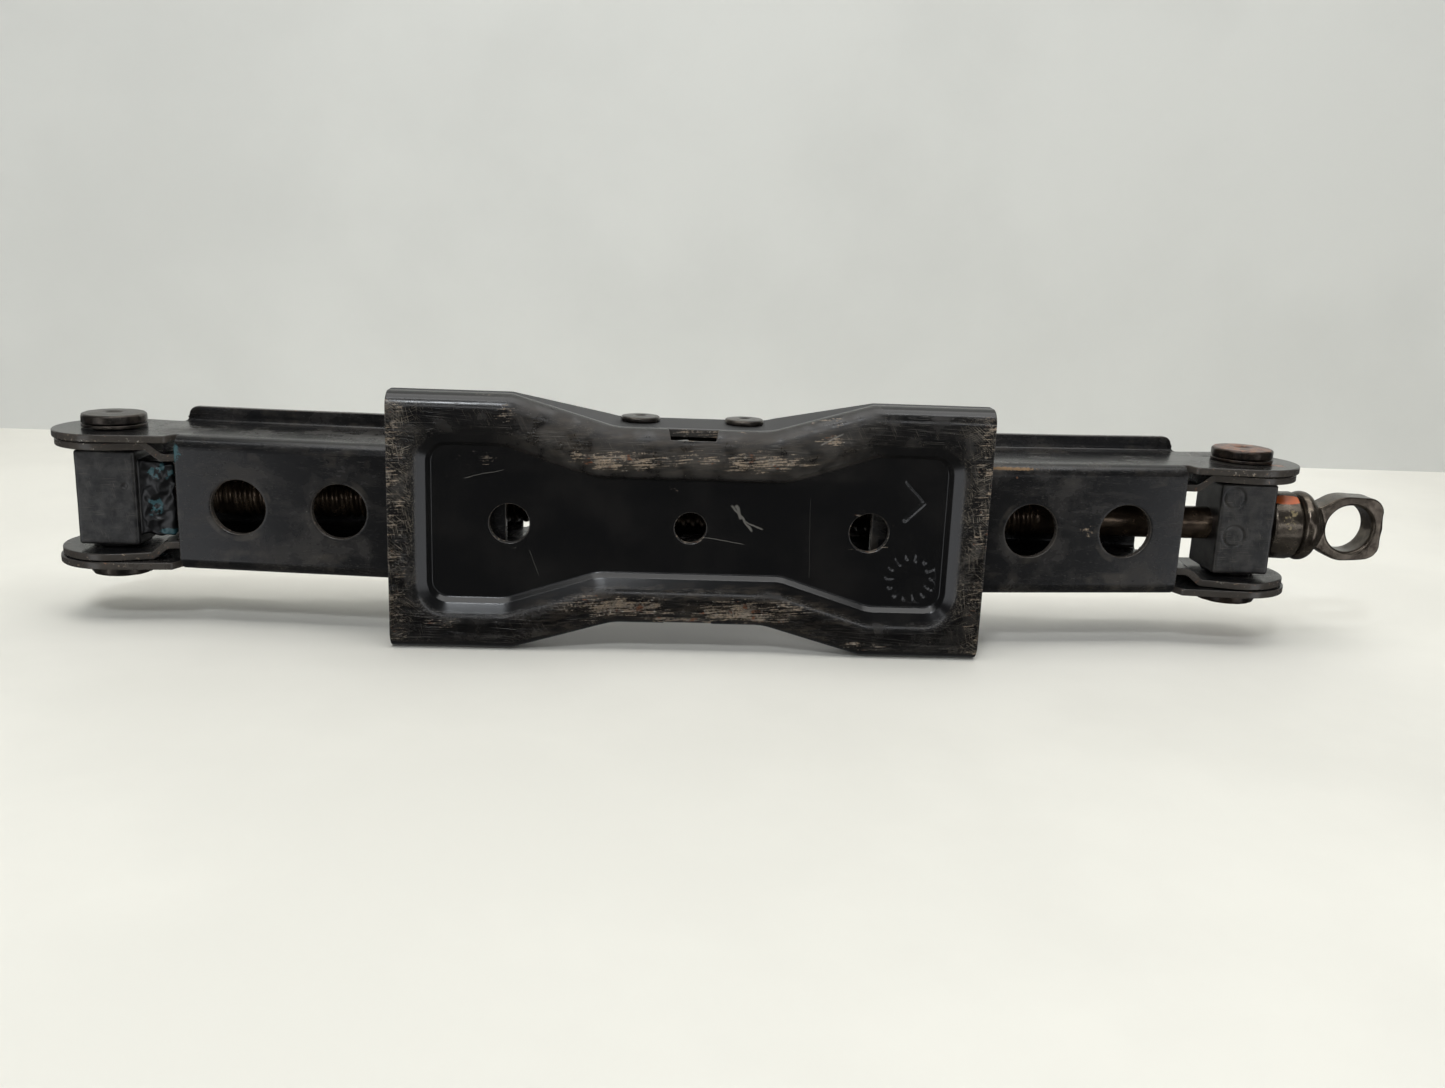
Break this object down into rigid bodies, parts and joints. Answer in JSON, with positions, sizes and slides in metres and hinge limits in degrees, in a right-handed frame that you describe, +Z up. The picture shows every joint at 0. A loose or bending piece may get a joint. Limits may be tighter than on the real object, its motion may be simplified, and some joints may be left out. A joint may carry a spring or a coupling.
{
  "type": "scissor jack",
  "caption": "Screw-driven scissor jack, folded flat: pressed base plate, geared channel arms, trunnion blocks, grooved saddle and a drive screw with a hook eye.",
  "frame": {"origin": "under the middle of the folded jack's length, on the ground plane its base plate rests on", "axes": "+Z up, the way the jack lifts; +X along the screw towards the drive eye; +Y across the jack"},
  "size_m": [0.4295, 0.078, 0.0725],
  "materials": {
    "base_paint": "semi-gloss black paint, scratched and rubbed on the rim",
    "arm_paint": "satin black paint with thin rust along its edges",
    "saddle_paint": "semi-gloss black paint",
    "pin_steel": "dark oiled steel",
    "rusted_steel": "dark steel with brown rust",
    "block_steel": "satin black, lightly marked",
    "screw_steel": "brown steel, greased",
    "collar_steel": "worn brown steel"
  },
  "bodies": {
    "base": {"base_plate": "base_paint", "base_pin_left": "pin_steel", "base_pin_right": "pin_steel"},
    "lower_left": {"lower_arm_left": "arm_paint"},
    "lower_right": {"lower_arm_right": "arm_paint"},
    "nut_trunnion": {"nut_block": "block_steel", "trunnion_pin_left_front": "pin_steel", "trunnion_pin_left_back": "pin_steel", "trunnion_washer_left_front": "pin_steel", "trunnion_washer_left_back": "pin_steel"},
    "bearing_trunnion": {"bearing_block": "block_steel", "trunnion_pin_right_front": "rusted_steel", "trunnion_pin_right_back": "rusted_steel", "trunnion_washer_right_front": "rusted_steel", "trunnion_washer_right_back": "rusted_steel", "thrust_washer": "screw_steel"},
    "drive": {"drive_screw": "screw_steel", "thrust_collar": "collar_steel", "drive_eye": "collar_steel"},
    "upper_left": {"upper_arm_left": "arm_paint"},
    "upper_right": {"upper_arm_right": "arm_paint"},
    "saddle": {"saddle": "saddle_paint", "saddle_pin_left": "pin_steel", "saddle_pin_right": "pin_steel"}
  },
  "joints": [
    {"name": "lift_fold", "type": "hinge", "parent": "base", "child": "lower_right", "pos_m": [0.00025, 0, 0.019], "axis": [0, -1, 0], "range_deg": [0, 53]},
    {"name": "lower_left_pivot", "type": "hinge", "parent": "base", "child": "lower_left", "pos_m": [-0.03175, 0, 0.019], "axis": [0, 1, 0], "range_deg": [0, 53]},
    {"name": "bearing_pivot", "type": "hinge", "parent": "lower_right", "child": "bearing_trunnion", "pos_m": [0.16525, 0, 0.034], "axis": [0, 1, 0], "range_deg": [0, 53]},
    {"name": "nut_pivot", "type": "hinge", "parent": "lower_left", "child": "nut_trunnion", "pos_m": [-0.19675, 0, 0.034], "axis": [0, -1, 0], "range_deg": [0, 53]},
    {"name": "upper_right_pivot", "type": "hinge", "parent": "lower_right", "child": "upper_right", "pos_m": [0.16525, 0, 0.034], "axis": [0, 1, 0], "range_deg": [0, 106]},
    {"name": "upper_left_pivot", "type": "hinge", "parent": "lower_left", "child": "upper_left", "pos_m": [-0.19675, 0, 0.034], "axis": [0, -1, 0], "range_deg": [0, 106]},
    {"name": "saddle_pivot", "type": "hinge", "parent": "upper_left", "child": "saddle", "pos_m": [-0.03175, 0, 0.049], "axis": [0, 1, 0], "range_deg": [0, 53]},
    {"name": "screw_spin", "type": "hinge", "parent": "bearing_trunnion", "child": "drive", "pos_m": [0.16525, 0, 0.034], "axis": [1, 0, 0], "continuous": true}
  ],
  "couplings": [
    {"joint": "lower_left_pivot", "follows": "lift_fold", "ratio": 1},
    {"joint": "bearing_pivot", "follows": "lift_fold", "ratio": 1},
    {"joint": "nut_pivot", "follows": "lift_fold", "ratio": 1},
    {"joint": "upper_right_pivot", "follows": "lift_fold", "ratio": 2},
    {"joint": "upper_left_pivot", "follows": "lift_fold", "ratio": 2},
    {"joint": "saddle_pivot", "follows": "lift_fold", "ratio": 1}
  ]
}
